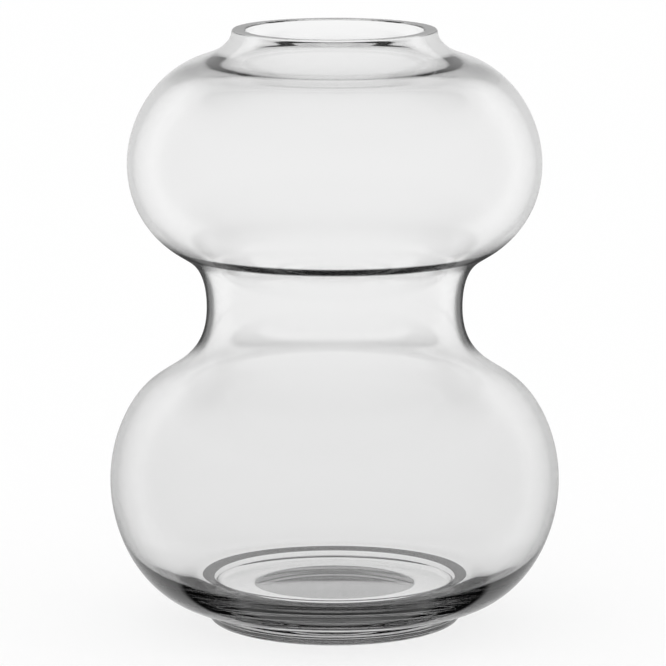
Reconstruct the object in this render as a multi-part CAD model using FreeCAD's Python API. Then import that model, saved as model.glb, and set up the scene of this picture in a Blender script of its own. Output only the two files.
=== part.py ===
import FreeCAD, Part
import math
import os

# Double gourd vase in clear glass, mouth blown, standing on a foot of its own.
# +Z is up. The origin is the middle of the circle that the vase stands on. Lengths are in millimetres.
# The two pieces are turned about +Z: the vessel with its open inside, and the foot under it.

# Heights of the circles that give the outline its two bulbs and its waist
overall_height = 220.0
upper_bulb_level = 171.8
waist_level = 119.4
lower_bulb_level = 52.9

# Radii of those circles, from the rim down to the seat that meets the foot
rim_radius = 37.5
upper_bulb_radius = 75.9
waist_radius = 47.0
lower_bulb_radius = 82.8
seat_radius = 44.8

# Walls, measured square to the outside
rim_wall = 4.9
upper_bulb_wall = 2.1
waist_wall = 2.0
lower_bulb_wall = 2.4
arris_width = 0.4

# The thick bottom of the vessel, above the seat
floor_radius = 43.5
floor_thickness = 9.2
heel_radius = 48.8
heel_rise = 1.0

# The foot: a thick disc with a full round edge, hollowed underneath
foot_height = 5.2
foot_radius = 46.5
foot_ring_radius = 41.5
foot_edge_level = 2.5
hollow_radius = 30.0
hollow_depth = 3.0

# Points of the outline between two of the circles, lower circle first: the share of the step in
# radius, and the share of the step in height
seat_to_bulb_shares = [(0.369, 0.085), (0.685, 0.284), (0.904, 0.587)]
bulb_to_waist_shares = [(0.139, 0.348), (0.397, 0.539), (0.690, 0.646), (0.910, 0.769)]
waist_to_bulb_shares = [(0.167, 0.281), (0.420, 0.378), (0.862, 0.649)]
bulb_to_rim_shares = [(0.128, 0.392), (0.395, 0.659), (0.645, 0.777), (0.881, 0.857)]

# How much of the step from the floor's thickness to the bulb's wall is left at each point above
# the seat
heel_wall_shares = [0.72, 0.18, 0.03]

# Direction in which the outline leaves the seat: the share of a step out, and of the same step up
seat_slope_shares = (0.98, 0.21)

# Direction in which the foot's round edge runs into the seat, in the same way
foot_edge_slope_shares = (-0.7, 0.7)

full_turn_degrees = 360
cubic_mm_per_millilitre = 1000


def between(lower, upper, shares):
    """Points at the given shares of the way from one (radius, height) pair to the next."""
    step_out = upper[0] - lower[0]
    step_up = upper[1] - lower[1]
    return [(lower[0] + out * step_out, lower[1] + up * step_up) for out, up in shares]


def spline(points, start_direction, end_direction):
    """One smooth curve through (radius, height) points, with its two end directions given."""
    curve = Part.BSplineCurve()
    curve.interpolate(Points=[FreeCAD.Vector(r, 0, z) for r, z in points],
                      InitialTangent=FreeCAD.Vector(start_direction[0], 0, start_direction[1]),
                      FinalTangent=FreeCAD.Vector(end_direction[0], 0, end_direction[1]),
                      Scale=False)
    return curve


def line(start, end):
    """A straight edge between two (radius, height) points."""
    return Part.LineSegment(FreeCAD.Vector(start[0], 0, start[1]),
                            FreeCAD.Vector(end[0], 0, end[1])).toShape()


def arc(start, middle, end):
    """A round edge through three (radius, height) points."""
    return Part.Arc(FreeCAD.Vector(start[0], 0, start[1]), FreeCAD.Vector(middle[0], 0, middle[1]),
                    FreeCAD.Vector(end[0], 0, end[1])).toShape()


def turned(edges):
    """The solid that a closed outline sweeps in one turn about the axis."""
    face = Part.Face(Part.Wire(edges))
    solid = face.revolve(FreeCAD.Vector(0, 0, 0), FreeCAD.Vector(0, 0, 1),
                         full_turn_degrees)
    if solid.Volume < 0:
        solid.reverse()
    return solid


def outer_points():
    """Points of the outside, from the seat up to the arris under the rim."""
    seat = (seat_radius, foot_height)
    lower_bulb = (lower_bulb_radius, lower_bulb_level)
    waist = (waist_radius, waist_level)
    upper_bulb = (upper_bulb_radius, upper_bulb_level)
    rim = (rim_radius, overall_height - arris_width)
    points = [seat] + between(seat, lower_bulb, seat_to_bulb_shares)
    points += [lower_bulb] + between(lower_bulb, waist, bulb_to_waist_shares)
    points += [waist] + between(waist, upper_bulb, waist_to_bulb_shares)
    points += [upper_bulb] + between(upper_bulb, rim, bulb_to_rim_shares)
    return points + [rim]


def wall_at_points():
    """The wall at each point of the outside, from the first one above the seat to the rim."""
    bottom = floor_thickness
    walls = [lower_bulb_wall + left * (bottom - lower_bulb_wall) for left in heel_wall_shares]
    walls.append(lower_bulb_wall)
    steps = [(lower_bulb_wall, waist_wall, bulb_to_waist_shares),
             (waist_wall, upper_bulb_wall, waist_to_bulb_shares),
             (upper_bulb_wall, rim_wall, bulb_to_rim_shares)]
    for start, end, shares in steps:
        count = len(shares) + 1
        walls += [start + (end - start) * (place + 1) / count for place in range(count)]
    return walls


def inner_points(outside, points):
    """Points of the inside, from the heel up to the rim: the outside set back by the wall."""
    inside = [(floor_radius, foot_height + floor_thickness),
              (heel_radius, foot_height + floor_thickness + heel_rise)]
    for (r, z), wall in zip(points[1:], wall_at_points()):
        tangent = outside.tangent(outside.parameter(FreeCAD.Vector(r, 0, z)))[0]
        inside.append((r - wall * tangent.z, z + wall * tangent.x))
    return inside


def vessel():
    """Both bulbs, the waist and the collar, blown as one wall round one open inside."""
    points = outer_points()
    outside = spline(points, seat_slope_shares, (0, 1))
    inside_points = inner_points(outside, points)
    inside = spline(inside_points, (1, 0), (0, 1))
    seat_middle = (0, foot_height)
    floor_middle = (0, foot_height + floor_thickness)
    rim_outer = (rim_radius - arris_width, overall_height)
    rim_inner = (inside_points[-1][0] + arris_width, overall_height)
    return turned([line(seat_middle, points[0]), outside.toShape(), line(points[-1], rim_outer),
                   line(rim_outer, rim_inner), line(rim_inner, inside_points[-1]),
                   inside.toShape(), line(inside_points[0], floor_middle),
                   line(floor_middle, seat_middle)])


def foot():
    """A disc with a full round edge, flat on top under the vessel, with a shallow bowl ground below."""
    bowl_sphere_radius = (hollow_radius ** 2 + hollow_depth ** 2) / (2 * hollow_depth)
    half_angle = math.asin(hollow_radius / bowl_sphere_radius) / 2
    bowl_top = (0, hollow_depth)
    bowl_side = (bowl_sphere_radius * math.sin(half_angle),
                 hollow_depth - bowl_sphere_radius * (1 - math.cos(half_angle)))
    bowl_edge = (hollow_radius, 0)
    ring_edge = (foot_ring_radius, 0)
    widest = (foot_radius, foot_edge_level)
    top_edge = (seat_radius, foot_height)
    top_middle = (0, foot_height)
    round_edge = spline([ring_edge, widest, top_edge], (1, 0), foot_edge_slope_shares)
    return turned([arc(bowl_top, bowl_side, bowl_edge), line(bowl_edge, ring_edge),
                   round_edge.toShape(), line(top_edge, top_middle), line(top_middle, bowl_top)])


pieces = {"vessel": vessel(), "foot": foot()}
os.makedirs("parts", exist_ok=True)
for name, piece in pieces.items():
    box = piece.BoundBox
    print(name, "valid", piece.isValid(), "solids", len(piece.Solids),
          "millilitres of glass", round(piece.Volume / cubic_mm_per_millilitre, 1),
          "radius", round(box.XMax, 2), "from", round(box.ZMin, 2), "to", round(box.ZMax, 2))
    piece.exportStep("parts/" + name + ".step")
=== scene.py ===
# %% [markdown]
# A double gourd vase in clear glass. It is one blown wall with two bulbs, a waist and a short collar,
# standing on a foot that was put on hot. This file dresses the two solids of the model as glass.
# Glass shows no colour of its own, so what it bends, mirrors and loses is the whole finish. That makes
# the inside of the wall as important as the outside, and the light as important as the material.

# %% Load the model and keep its box
import math

import bpy
import numpy as np
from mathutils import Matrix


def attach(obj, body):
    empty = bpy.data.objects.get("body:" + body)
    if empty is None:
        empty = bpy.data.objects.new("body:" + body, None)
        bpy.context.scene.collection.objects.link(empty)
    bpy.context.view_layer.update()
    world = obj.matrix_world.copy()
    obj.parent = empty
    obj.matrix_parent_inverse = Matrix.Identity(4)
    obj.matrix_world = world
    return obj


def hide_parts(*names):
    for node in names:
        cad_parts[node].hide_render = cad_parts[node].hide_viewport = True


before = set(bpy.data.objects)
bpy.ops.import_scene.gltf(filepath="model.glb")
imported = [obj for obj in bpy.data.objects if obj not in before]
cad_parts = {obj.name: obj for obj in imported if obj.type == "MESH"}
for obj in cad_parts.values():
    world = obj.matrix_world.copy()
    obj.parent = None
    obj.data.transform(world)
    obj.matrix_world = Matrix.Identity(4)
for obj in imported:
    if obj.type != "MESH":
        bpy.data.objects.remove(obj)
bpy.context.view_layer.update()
BODY = "root"
MM = 0.001

# %% [markdown]
# The camera comes first, because glass can only be judged from where it is seen. The outline in the
# photograph narrows very little with distance, so the lens is long and the camera stands 1.8 m away,
# a little above the rim, looking down by ten degrees. The lens is worked out from the photograph's
# scale: so many pixels of a 666 pixel frame for a millimetre at one metre.

# %% Camera at the photograph's angle
PHOTO_PIXELS = 666
FOCAL_PIXELS = 4972.2
AXIS_OFFSET_PIXELS = 1.6
SENSOR_MM = 36.0
CAMERA_DISTANCE = 1.8
CAMERA_HEIGHT = 0.42766
CAMERA_TILT = math.radians(10.078)


def add_camera():
    """A camera on the -Y side, tilted down, whose frame matches the photograph's."""
    data = bpy.data.cameras.new("camera")
    data.sensor_width = SENSOR_MM
    data.lens = FOCAL_PIXELS / PHOTO_PIXELS * SENSOR_MM
    data.shift_x = -AXIS_OFFSET_PIXELS / PHOTO_PIXELS
    data.clip_end = 100.0
    camera = bpy.data.objects.new("camera", data)
    camera.location = (0.0, -CAMERA_DISTANCE, CAMERA_HEIGHT)
    camera.rotation_euler = (math.pi / 2 - CAMERA_TILT, 0.0, 0.0)
    bpy.context.scene.collection.objects.link(camera)
    bpy.context.scene.camera = camera
    return camera


camera = add_camera()
print("lens in mm", round(camera.data.lens, 1))

# %% [markdown]
# A blown vase is round, so one outline turned about the axis makes each piece. The outline is a cubic
# curve through a few points, placed as shares of the way from one named circle to the next: the seat,
# the lower bulb, the waist, the upper bulb and the rim. A subdivided cage of a few rings could give
# the same form, but a curve keeps the radii exact, and glass shows every flat spot.

# %% Sizes of the glass, in millimetres
HEIGHT = 220.0
RIM_RADIUS, RIM_WALL, ARRIS = 37.5, 4.9, 0.4
UPPER_BULB, UPPER_WALL = (75.9, 171.8), 2.1
WAIST, WAIST_WALL = (47.0, 119.4), 2.0
LOWER_BULB, LOWER_WALL = (82.8, 52.9), 2.4
SEAT_RADIUS = 44.8
FLOOR_RADIUS, FLOOR_LEVEL = 43.5, 14.4
HEEL_RADIUS, HEEL_RISE = 48.8, 1.0
HEEL_WALLS = (7.3, 3.62, 2.6)
FOOT_HEIGHT, FOOT_RADIUS, FOOT_RING_RADIUS, FOOT_EDGE_LEVEL = 5.2, 46.5, 41.5, 2.5
HOLLOW_RADIUS, HOLLOW_DEPTH = 30.0, 3.0

SEAT_TO_BULB_SHARES = [(0.369, 0.085), (0.685, 0.284), (0.904, 0.587)]
BULB_TO_WAIST_SHARES = [(0.139, 0.348), (0.397, 0.539), (0.690, 0.646), (0.910, 0.769)]
WAIST_TO_BULB_SHARES = [(0.167, 0.281), (0.420, 0.378), (0.862, 0.649)]
BULB_TO_RIM_SHARES = [(0.128, 0.392), (0.395, 0.659), (0.645, 0.777), (0.881, 0.857)]
SEAT_SLOPE = (0.98, 0.21)
FOOT_EDGE_SLOPE = (-0.7, 0.7)


# %% A smooth curve through points
def unit(direction):
    """The same direction, one long."""
    direction = np.array(direction, float)
    return direction / np.linalg.norm(direction)


def curve_through(points, start_direction, end_direction, count):
    """Cubic curve with a steady bend through (radius, height) points, count samples long.

    The parameter is the distance from point to point. The slope at each point is solved so that the
    second derivative runs on from one span to the next, and the two end slopes are given."""
    points = np.array(points, float)
    spans = np.linalg.norm(np.diff(points, axis=0), axis=1)
    chords = np.diff(points, axis=0) / spans[:, None]
    size = len(points)
    system = np.eye(size)
    wanted = np.zeros((size, 2))
    wanted[0], wanted[-1] = unit(start_direction), unit(end_direction)
    inner = np.arange(1, size - 1)
    system[inner, inner - 1] = spans[1:]
    system[inner, inner] = 2 * (spans[:-1] + spans[1:])
    system[inner, inner + 1] = spans[:-1]
    wanted[inner] = 3 * (spans[1:, None] * chords[:-1] + spans[:-1, None] * chords[1:])
    slopes = np.linalg.solve(system, wanted)
    places = np.concatenate([[0.0], np.cumsum(spans)])
    at = np.linspace(0.0, places[-1], count)
    span = np.clip(np.searchsorted(places, at, side="right") - 1, 0, size - 2)
    length = spans[span][:, None]
    x = (at - places[span])[:, None] / length
    return ((2 * x**3 - 3 * x**2 + 1) * points[span] + (x**3 - 2 * x**2 + x) * length * slopes[span]
            + (3 * x**2 - 2 * x**3) * points[span + 1] + (x**3 - x**2) * length * slopes[span + 1])


def between(lower, upper, shares):
    """Points at the given shares of the way from one (radius, height) pair to the next."""
    return [(lower[0] + out * (upper[0] - lower[0]), lower[1] + up * (upper[1] - lower[1]))
            for out, up in shares]


# %% [markdown]
# The outside and the inside are two curves. The inside is the outside set back by the wall, square to
# it, and the wall changes slowly between the circles: it is thin in the bulbs, where the glass was
# blown out furthest, and thick at the rim and in the bottom. The flat floor ends in a low step up to
# the heel, which shows in the photograph as the ring seen through the front of the bulb.

# %% Outlines of the vessel
OUTLINE_SAMPLES = 180


def outside_points():
    """Points of the outside from the seat to the arris under the rim."""
    seat, rim = (SEAT_RADIUS, FOOT_HEIGHT), (RIM_RADIUS, HEIGHT - ARRIS)
    return ([seat] + between(seat, LOWER_BULB, SEAT_TO_BULB_SHARES)
            + [LOWER_BULB] + between(LOWER_BULB, WAIST, BULB_TO_WAIST_SHARES)
            + [WAIST] + between(WAIST, UPPER_BULB, WAIST_TO_BULB_SHARES)
            + [UPPER_BULB] + between(UPPER_BULB, rim, BULB_TO_RIM_SHARES) + [rim])


def wall_steps():
    """The wall at each of those points, from the first one above the seat."""
    walls = list(HEEL_WALLS) + [LOWER_WALL]
    for start, end, shares in ((LOWER_WALL, WAIST_WALL, BULB_TO_WAIST_SHARES),
                               (WAIST_WALL, UPPER_WALL, WAIST_TO_BULB_SHARES),
                               (UPPER_WALL, RIM_WALL, BULB_TO_RIM_SHARES)):
        walls += list(np.linspace(start, end, len(shares) + 2)[1:])
    return walls


def inside_points(outside, points):
    """The floor's edge, the step beside it, and then each outer point moved in by its wall."""
    dense = curve_through(points, SEAT_SLOPE, (0, 1), 6000)
    slope = np.gradient(dense, axis=0)
    slope /= np.linalg.norm(slope, axis=1)[:, None]
    result = [(FLOOR_RADIUS, FLOOR_LEVEL), (HEEL_RADIUS, FLOOR_LEVEL + HEEL_RISE)]
    for (radius, height), wall in zip(points[1:], wall_steps()):
        nearest = np.argmin(np.hypot(dense[:, 0] - radius, dense[:, 1] - height))
        result.append((radius - wall * slope[nearest, 1], height + wall * slope[nearest, 0]))
    return result


outer_points = outside_points()
outside = curve_through(outer_points, SEAT_SLOPE, (0, 1), OUTLINE_SAMPLES)
inside = curve_through(inside_points(outside, outer_points), (1, 0), (0, 1), OUTLINE_SAMPLES)
print("widest", round(outside[:, 0].max(), 2), "waist inside", round(
    inside[np.abs(inside[:, 1] - WAIST[1]) < 20, 0].min(), 2))

# %% [markdown]
# Turning an outline gives a grid: one row of points for each point of the outline, one column for
# each step round the axis. Where the outline meets the axis the row would be many points in one
# place, so it becomes a single point with a fan of triangles. The outline runs so that every face
# points away from the glass. Smooth shading carries the light over the small flat faces.

# %% Turn an outline into a closed mesh
ROUND_STEPS = 240
SHARP_EDGE = math.radians(25)


def turned(name, outline, materials, slot_of_row):
    """Surface of revolution: x = r cos a, y = r sin a, z = h, for a closed outline from axis to axis.

    outline: (radius, height) in millimetres; its first and last points lie on the axis."""
    rows = np.array(outline[1:-1], float) * MM
    angle = np.arange(ROUND_STEPS) * (2 * math.pi / ROUND_STEPS)
    ring = np.stack([np.cos(angle), np.sin(angle)], axis=1)
    points = np.concatenate([rows[:, None, :1] * ring[None], np.repeat(
        rows[:, None, 1:], ROUND_STEPS, axis=1)], axis=2).reshape(-1, 3)
    ends = np.array([[0.0, 0.0, outline[0][1] * MM], [0.0, 0.0, outline[-1][1] * MM]])
    first, last = len(points), len(points) + 1
    row, step = np.meshgrid(np.arange(len(rows) - 1), np.arange(ROUND_STEPS), indexing="ij")
    here, following = row * ROUND_STEPS + step, row * ROUND_STEPS + (step + 1) % ROUND_STEPS
    quads = np.stack([here, following, following + ROUND_STEPS, here + ROUND_STEPS], -1).reshape(-1, 4)
    turn = np.arange(ROUND_STEPS)
    after = (turn + 1) % ROUND_STEPS
    top = (len(rows) - 1) * ROUND_STEPS
    start_fan = np.stack([np.full(ROUND_STEPS, first), after, turn], -1)
    end_fan = np.stack([np.full(ROUND_STEPS, last), top + turn, top + after], -1)
    mesh = bpy.data.meshes.new(name)
    mesh.from_pydata(np.concatenate([points, ends]), [],
                     start_fan.tolist() + quads.tolist() + end_fan.tolist())
    mesh.polygons.foreach_set("use_smooth", np.ones(len(mesh.polygons), bool))
    slots = np.concatenate([np.full(ROUND_STEPS, slot_of_row[0]),
                            np.repeat(slot_of_row[1:-1], ROUND_STEPS),
                            np.full(ROUND_STEPS, slot_of_row[-1])])
    mesh.polygons.foreach_set("material_index", slots.astype(np.int32))
    for material in materials:
        mesh.materials.append(material)
    mesh.update()
    mesh.set_sharp_from_angle(angle=SHARP_EDGE)
    piece = bpy.data.objects.new(name, mesh)
    bpy.context.scene.collection.objects.link(piece)
    print(name, "faces", len(mesh.polygons))
    return piece


# %% [markdown]
# Clear soda-lime glass, blown and fire polished, bends light by 1.52 and mirrors four per cent of what
# meets it head on. A glass shader alone would mirror the white studio in front of it and turn white.
# A photographer stands dark cards there. Here their look is painted on the two halves of glass:
# a Refraction shader and a Glossy shader, mixed by Fresnel, with the Glossy colour a painted
# reflection, dark where the mirrored share is weak and bright where the glass mirrors all of the light
# from inside. Low on the vase both colours are painted a little darker, as shade.

# %% Small helpers for materials
def linear(hex_colour):
    """sRGB hex to the linear colour that shaders work in."""
    srgb = np.array([int(hex_colour[i:i + 2], 16) for i in (1, 3, 5)]) / 255
    low, high = srgb / 12.92, ((srgb + 0.055) / 1.055) ** 2.4
    return tuple(float(c) for c in np.where(srgb <= 0.04045, low, high)) + (1.0,)


def add(tree, kind, settings=None, inputs=None):
    """Adds a node with its settings; an input is a value, or a socket to link from."""
    node = tree.nodes.new("ShaderNode" + kind)
    for name, value in (settings or {}).items():
        setattr(node, name, value)
    for name, value in (inputs or {}).items():
        if isinstance(value, bpy.types.NodeSocket):
            tree.links.new(value, node.inputs[name])
        else:
            node.inputs[name].default_value = value
    return node


def new_tree(owner):
    """Turns nodes on and empties the tree."""
    owner.use_nodes = True
    owner.node_tree.nodes.clear()
    return owner.node_tree


# %% Glass
GLASS_IOR = 1.52
# Painted reflection: the colours the mirror is painted, a dark card grey and lighter studio greys.
PAINTED_CARD_REFLECTION = "#595959"
MIRRORED_LOW, MIRRORED_HIGH = "#d8d8d8", "#e2e2e2"
# Painted shade: the low colours of what is mirrored and what passes are a little darker.
PASSED_LOW, PASSED_HIGH = "#fcfcfc", "#ffffff"
LOW_LEVEL, HIGH_LEVEL = 0.040, 0.125
PAINTED_CARD_SHARE, STUDIO_SHARE = 0.043, 0.10
TOTAL_START, TOTAL_END = 0.20, 0.45
SHADOW_TINT = "#f4f4f4"


def soft_step(tree, value, start, end, kind="SMOOTHSTEP"):
    """A step from 0 to 1 as value goes from start to end, or back where start is the greater."""
    return add(tree, "MapRange", {"interpolation_type": kind},
               {"Value": value, "From Min": start, "From Max": end}).outputs[0]


def combine(tree, operation, first, second):
    """One sum of two shares: MULTIPLY, MAXIMUM, MINIMUM or SUBTRACT."""
    return add(tree, "Math", {"operation": operation}, {0: first, 1: second}).outputs[0]


def blend(tree, share, first, second):
    """A colour that goes from first to second as share goes from 0 to 1."""
    return add(tree, "Mix", {"data_type": "RGBA"}, {0: share, 6: first, 7: second}).outputs[2]


def zone(tree, height, levels):
    """1 between the two middle heights, fading to 0 at the outer two, in metres."""
    rising = soft_step(tree, height, levels[0], levels[1])
    falling = soft_step(tree, height, levels[3], levels[2])
    return combine(tree, "MULTIPLY", rising, falling)


def clear_glass(name, passed=(PASSED_LOW, PASSED_HIGH), mirrored=(MIRRORED_LOW, MIRRORED_HIGH),
                roughness=0.0, painted_dark_zones=(), painted_dark_bands=()):
    """Clear glass: Refraction and Glossy mixed by Fresnel, the mirror's colour a painted reflection
    going from a dark card grey to studio grey.

    passed, mirrored: what is let through and what is mirrored, low on the vase and high on it; the
    darker low colours are painted shade.
    dark zones: zones of height, with their depth, of painted shade, where what is wholly mirrored is
    painted towards the dark card grey.
    dark bands: zones of height of painted shade, where what passes through a face met from outside at a
    grazing angle is painted dark grey, each with the mirrored shares between which that sets in."""
    material = bpy.data.materials.new(name)
    tree = new_tree(material)
    fresnel = add(tree, "Fresnel", inputs={"IOR": GLASS_IOR}).outputs[0]
    place = add(tree, "TexCoord").outputs["Object"]
    height = add(tree, "SeparateXYZ", inputs={0: place}).outputs["Z"]
    bright = soft_step(tree, fresnel, PAINTED_CARD_SHARE, STUDIO_SHARE, "LINEAR")
    total = soft_step(tree, fresnel, TOTAL_START, TOTAL_END)
    # Painted shade: in each zone the mirror's colour is painted towards the dark card grey.
    for levels, depth in painted_dark_zones:
        painted_dark_share = combine(tree, "MULTIPLY", total, zone(tree, height, levels))
        painted_dark_share = combine(tree, "MULTIPLY", painted_dark_share, depth)
        unshaded_share = combine(tree, "SUBTRACT", 1.0, painted_dark_share)
        bright = combine(tree, "MULTIPLY", bright, unshaded_share)
    # Painted shade: both the mirrored and the passed colours are darker low on the vase.
    rise = soft_step(tree, height, LOW_LEVEL, HIGH_LEVEL)
    studio = blend(tree, rise, linear(mirrored[0]), linear(mirrored[1]))
    # Painted reflection: the mirror's colour goes from the dark card grey to studio grey.
    tint = blend(tree, bright, linear(PAINTED_CARD_REFLECTION), studio)
    colour = blend(tree, rise, linear(passed[0]), linear(passed[1]))
    # Painted shade: in each zone a dark grey is painted into what passes, on faces met from outside at
    # a grazing angle.
    for levels, start, end in painted_dark_bands:
        grazing = soft_step(tree, fresnel, start, end)
        painted_dark_share = combine(tree, "MULTIPLY", grazing, zone(tree, height, levels))
        leaving = add(tree, "NewGeometry").outputs["Backfacing"]
        entering = combine(tree, "SUBTRACT", 1.0, leaving)
        painted_dark_share = combine(tree, "MULTIPLY", painted_dark_share, entering)
        colour = blend(tree, painted_dark_share, colour, linear(PAINTED_BAND_COLOUR))
    bend = add(tree, "BsdfRefraction", inputs={"Color": colour, "IOR": GLASS_IOR,
                                               "Roughness": roughness})
    mirror = add(tree, "BsdfGlossy", inputs={"Color": tint, "Roughness": roughness})
    both = add(tree, "MixShader", inputs={0: fresnel, 1: bend.outputs[0], 2: mirror.outputs[0]})
    clear = add(tree, "BsdfTransparent", inputs={"Color": linear(SHADOW_TINT)})
    shadow = add(tree, "LightPath").outputs["Is Shadow Ray"]
    seen = add(tree, "MixShader", inputs={0: shadow, 1: both.outputs[0], 2: clear.outputs[0]})
    add(tree, "OutputMaterial", inputs={"Surface": seen.outputs[0]})
    return material


def fused_joint(name):
    """Where two gathers of hot glass are fused nothing bends or mirrors, so light passes straight."""
    material = bpy.data.materials.new(name)
    tree = new_tree(material)
    clear = add(tree, "BsdfTransparent")
    add(tree, "OutputMaterial", inputs={"Surface": clear.outputs[0]})
    return material


# Painted shade: the colour of the dark bands, a dark grey.
PAINTED_BAND_COLOUR = "#2c2c2c"
# Painted shade: the zone of the waist where the mirror is painted dark, inside and out.
WAIST_PAINTED_SHADE = ((0.098, 0.106, 0.140, 0.150), 1.0)
# Painted shade: a dark band at the crease of the waist and one in the base.
WAIST_PAINTED_BAND = ((0.1380, 0.1390, 0.1410, 0.1420), 0.07, 0.10)
BASE_PAINTED_BAND = ((0.0140, 0.0160, 0.0200, 0.0225), 0.10, 0.18)
outside_glass = clear_glass("blown_soda_lime_glass", painted_dark_zones=(WAIST_PAINTED_SHADE,),
                            painted_dark_bands=(WAIST_PAINTED_BAND, BASE_PAINTED_BAND))
inside_glass = clear_glass("inside_of_blown_glass", painted_dark_zones=(WAIST_PAINTED_SHADE,))
floor_glass = clear_glass("flat_floor_of_blown_glass")
# Painted shade: what passes the heel is painted a mid grey.
heel_glass = clear_glass("heel_of_blown_glass_painted_shade", passed=("#8c8c8c", "#8c8c8c"))
# Painted reflection: the foot's mirror is painted a lighter grey.
foot_glass = clear_glass("hot_applied_soda_lime_glass", mirrored=("#f0f0f0", "#f0f0f0"))
# The bowl's slight roughness is its grinding; its grey is painted shade.
ground_glass = clear_glass("ground_glass_painted_shade", passed=("#c8c8c8", "#c8c8c8"), roughness=0.03)
joint = fused_joint("fused_glass_joint")
GLASS_SLOT, JOINT_SLOT, PAINTED_SHADE_SLOT, FLOOR_SLOT, INSIDE_SLOT = 0, 1, 2, 3, 4

# %% [markdown]
# The vessel's closed outline starts on the axis under the seat, runs out along the seat, up the
# outside, over the cut rim with its small polished arrises, and down the inside to the floor.

# %% Vessel
SEAT_ROWS, FLOOR_ROWS = 8, 24


def vessel_outline():
    """Seat, outside, rim and inside as one closed outline, and the slot of each row of faces."""
    seat = [(radius, FOOT_HEIGHT) for radius in np.linspace(0.0, SEAT_RADIUS, SEAT_ROWS)]
    rim_inner = inside[-1, 0]
    rim = [(RIM_RADIUS - ARRIS, HEIGHT), (rim_inner + ARRIS, HEIGHT)]
    floor = [(radius, FLOOR_LEVEL) for radius in np.linspace(FLOOR_RADIUS, 0.0, FLOOR_ROWS)]
    outline = seat + outside[1:].tolist() + rim + inside[::-1][:-1].tolist() + floor
    slots = np.full(len(outline) - 1, GLASS_SLOT)
    slots[:SEAT_ROWS - 1] = JOINT_SLOT
    slots[SEAT_ROWS + OUTLINE_SAMPLES:] = INSIDE_SLOT
    middle = (np.array(outline[:-1]) + np.array(outline[1:])) / 2
    # The heel rows, whose glass is painted with shade.
    painted_heel_rows = ((middle[:, 0] > FLOOR_RADIUS) & (middle[:, 0] < HEEL_RADIUS)
              & (middle[:, 1] > FLOOR_LEVEL - 1) & (middle[:, 1] < FLOOR_LEVEL + 2 * HEEL_RISE))
    slots[painted_heel_rows] = PAINTED_SHADE_SLOT
    slots[-FLOOR_ROWS:] = FLOOR_SLOT
    return outline, slots


outline, slots = vessel_outline()
vessel = turned("blown_vessel", outline,
                [outside_glass, joint, heel_glass, floor_glass, inside_glass], slots)
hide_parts("vessel")
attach(vessel, BODY)

# %% [markdown]
# The foot is a thick disc with a full round edge. A shallow bowl is ground and polished into its
# underside, which takes off the mark of the iron and leaves a ring to stand on.

# %% Foot
BOWL_ROWS, RING_ROWS, EDGE_ROWS = 40, 8, 48


def foot_outline():
    """Bowl, standing ring, round edge and flat top as one closed outline, and each row's slot."""
    sphere = (HOLLOW_RADIUS ** 2 + HOLLOW_DEPTH ** 2) / (2 * HOLLOW_DEPTH)
    angle = np.linspace(0.0, math.asin(HOLLOW_RADIUS / sphere), BOWL_ROWS)
    bowl = np.stack([sphere * np.sin(angle), HOLLOW_DEPTH - sphere * (1 - np.cos(angle))], 1)
    ring = [(radius, 0.0) for radius in np.linspace(HOLLOW_RADIUS, FOOT_RING_RADIUS, RING_ROWS)]
    edge = curve_through([(FOOT_RING_RADIUS, 0.0), (FOOT_RADIUS, FOOT_EDGE_LEVEL),
                          (SEAT_RADIUS, FOOT_HEIGHT)], (1, 0), FOOT_EDGE_SLOPE, EDGE_ROWS)
    top = [(radius, FOOT_HEIGHT) for radius in np.linspace(SEAT_RADIUS, 0.0, SEAT_ROWS)]
    outline = bowl.tolist() + ring[1:] + edge[1:].tolist() + top[1:]
    slots = np.full(len(outline) - 1, GLASS_SLOT)
    slots[:BOWL_ROWS - 1] = PAINTED_SHADE_SLOT
    slots[-(SEAT_ROWS - 1):] = JOINT_SLOT
    return outline, slots


outline, slots = foot_outline()
foot = turned("applied_foot", outline, [foot_glass, joint, ground_glass], slots)
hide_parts("foot")
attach(foot, BODY)

# %% [markdown]
# The studio: a white sweep that the camera sees as plain white, and that the glass sees as a broad
# bright band with dark above and close under it, which draws its dark edges. The band goes all the
# way round, so the vase looks alike from every side. Light that has met the floor sees an even dome
# instead, so that the floor stays white and keeps a soft shadow.

# %% Light and background
BAND_LOW, BAND_HIGH = -40.0, 30.0
BAND_LOW_EDGE, BAND_HIGH_EDGE = 3.0, 15.0
BELOW_LOW, BELOW_HIGH = -62.0, -58.0
DARK = 0.02
DOME_STRENGTH = 1.07
PLAIN_SHARE = 0.75
FLOOR_GAP = 0.0002


def height_share(degrees):
    """Where an elevation lies on the scale from straight down, 0, to straight up, 1."""
    return (math.sin(math.radians(degrees)) + 1) / 2


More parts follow.
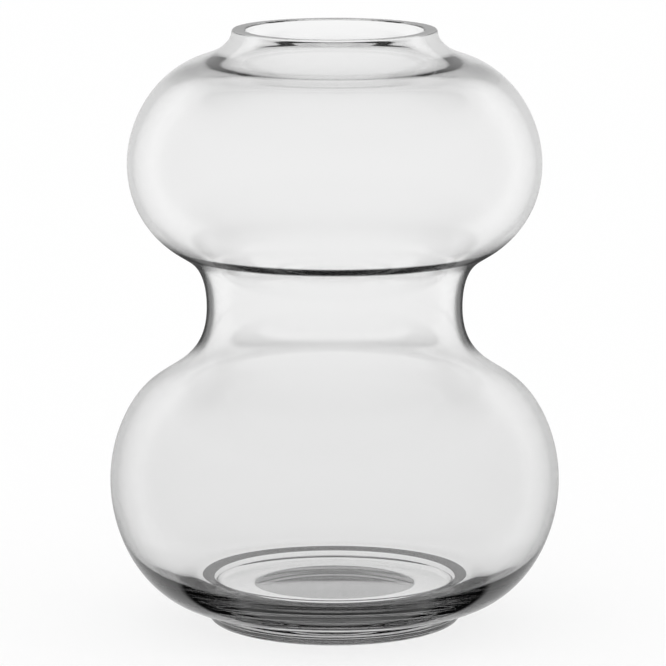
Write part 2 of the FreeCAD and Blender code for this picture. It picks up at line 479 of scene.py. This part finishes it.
def studio_world():
    """World light by elevation for glass, even for the camera and for the floor."""
    world = bpy.data.worlds.new("studio")
    bpy.context.scene.world = world
    tree = new_tree(world)
    direction = add(tree, "TexCoord").outputs["Generated"]
    up = add(tree, "SeparateXYZ", inputs={0: direction}).outputs["Z"]
    share = add(tree, "MapRange", inputs={"Value": up, "From Min": -1.0, "From Max": 1.0}).outputs[0]
    ramp = add(tree, "ValToRGB", inputs={0: share})
    stops = [(0.0, 1.0), (height_share(BELOW_LOW), 1.0), (height_share(BELOW_HIGH), DARK),
             (height_share(BAND_LOW - BAND_LOW_EDGE), DARK),
             (height_share(BAND_LOW), 1.0), (height_share(BAND_HIGH), 1.0),
             (height_share(BAND_HIGH + BAND_HIGH_EDGE), DARK)]
    elements = ramp.color_ramp.elements
    while len(elements) < len(stops):
        elements.new(1.0)
    for element, (place, level) in zip(elements, stops):
        element.position = place
        element.color = (level, level, level, 1.0)
    path = add(tree, "LightPath")
    seen = add(tree, "Mix", {"data_type": "RGBA"}, {0: path.outputs["Is Camera Ray"],
                                                    6: ramp.outputs[0], 7: (1, 1, 1, 1)}).outputs[2]
    from_floor = add(tree, "Math", {"operation": "GREATER_THAN"},
                     {0: path.outputs["Diffuse Depth"], 1: 0.5}).outputs[0]
    light = add(tree, "Mix", {"data_type": "RGBA"}, {0: from_floor, 6: seen,
                                                     7: (DOME_STRENGTH,) * 3 + (1,)}).outputs[2]
    background = add(tree, "Background", inputs={"Color": light})
    add(tree, "OutputWorld", inputs={"Surface": background.outputs[0]})


def studio_floor():
    """A large white plane. Rays that left the glass pass it, and see the band beyond."""
    half, level = 30.0, -FLOOR_GAP
    mesh = bpy.data.meshes.new("floor")
    corners = [(-half, -half, level), (half, -half, level), (half, half, level), (-half, half, level)]
    mesh.from_pydata(corners, [], [(0, 1, 2, 3)])
    material = bpy.data.materials.new("white_sweep")
    tree = new_tree(material)
    path = add(tree, "LightPath")
    through = add(tree, "Math", {"operation": "MAXIMUM"},
                  {0: path.outputs["Is Glossy Ray"], 1: path.outputs["Is Transmission Ray"]}).outputs[0]
    shaded = add(tree, "BsdfDiffuse", inputs={"Color": linear("#f8f8f8")})
    lit = add(tree, "Emission", inputs={"Strength": 1.0})
    plain = combine(tree, "MULTIPLY", path.outputs["Is Camera Ray"], PLAIN_SHARE)
    white = add(tree, "MixShader", inputs={0: plain, 1: shaded.outputs[0], 2: lit.outputs[0]})
    clear = add(tree, "BsdfTransparent")
    both = add(tree, "MixShader", inputs={0: through, 1: white.outputs[0], 2: clear.outputs[0]})
    add(tree, "OutputMaterial", inputs={"Surface": both.outputs[0]})
    mesh.materials.append(material)
    floor = bpy.data.objects.new("floor", mesh)
    bpy.context.scene.collection.objects.link(floor)


studio_world()
studio_floor()

# %% [markdown]
# Light in a thick bottom turns back many times before it leaves, so the limits on bounces are raised.

# %% Render limits that glass needs
GLASS_BOUNCES = 24
cycles = bpy.context.scene.cycles
cycles.max_bounces = GLASS_BOUNCES
cycles.transmission_bounces = GLASS_BOUNCES
cycles.glossy_bounces = GLASS_BOUNCES
cycles.transparent_max_bounces = GLASS_BOUNCES
bpy.context.scene.view_settings.view_transform = "Standard"
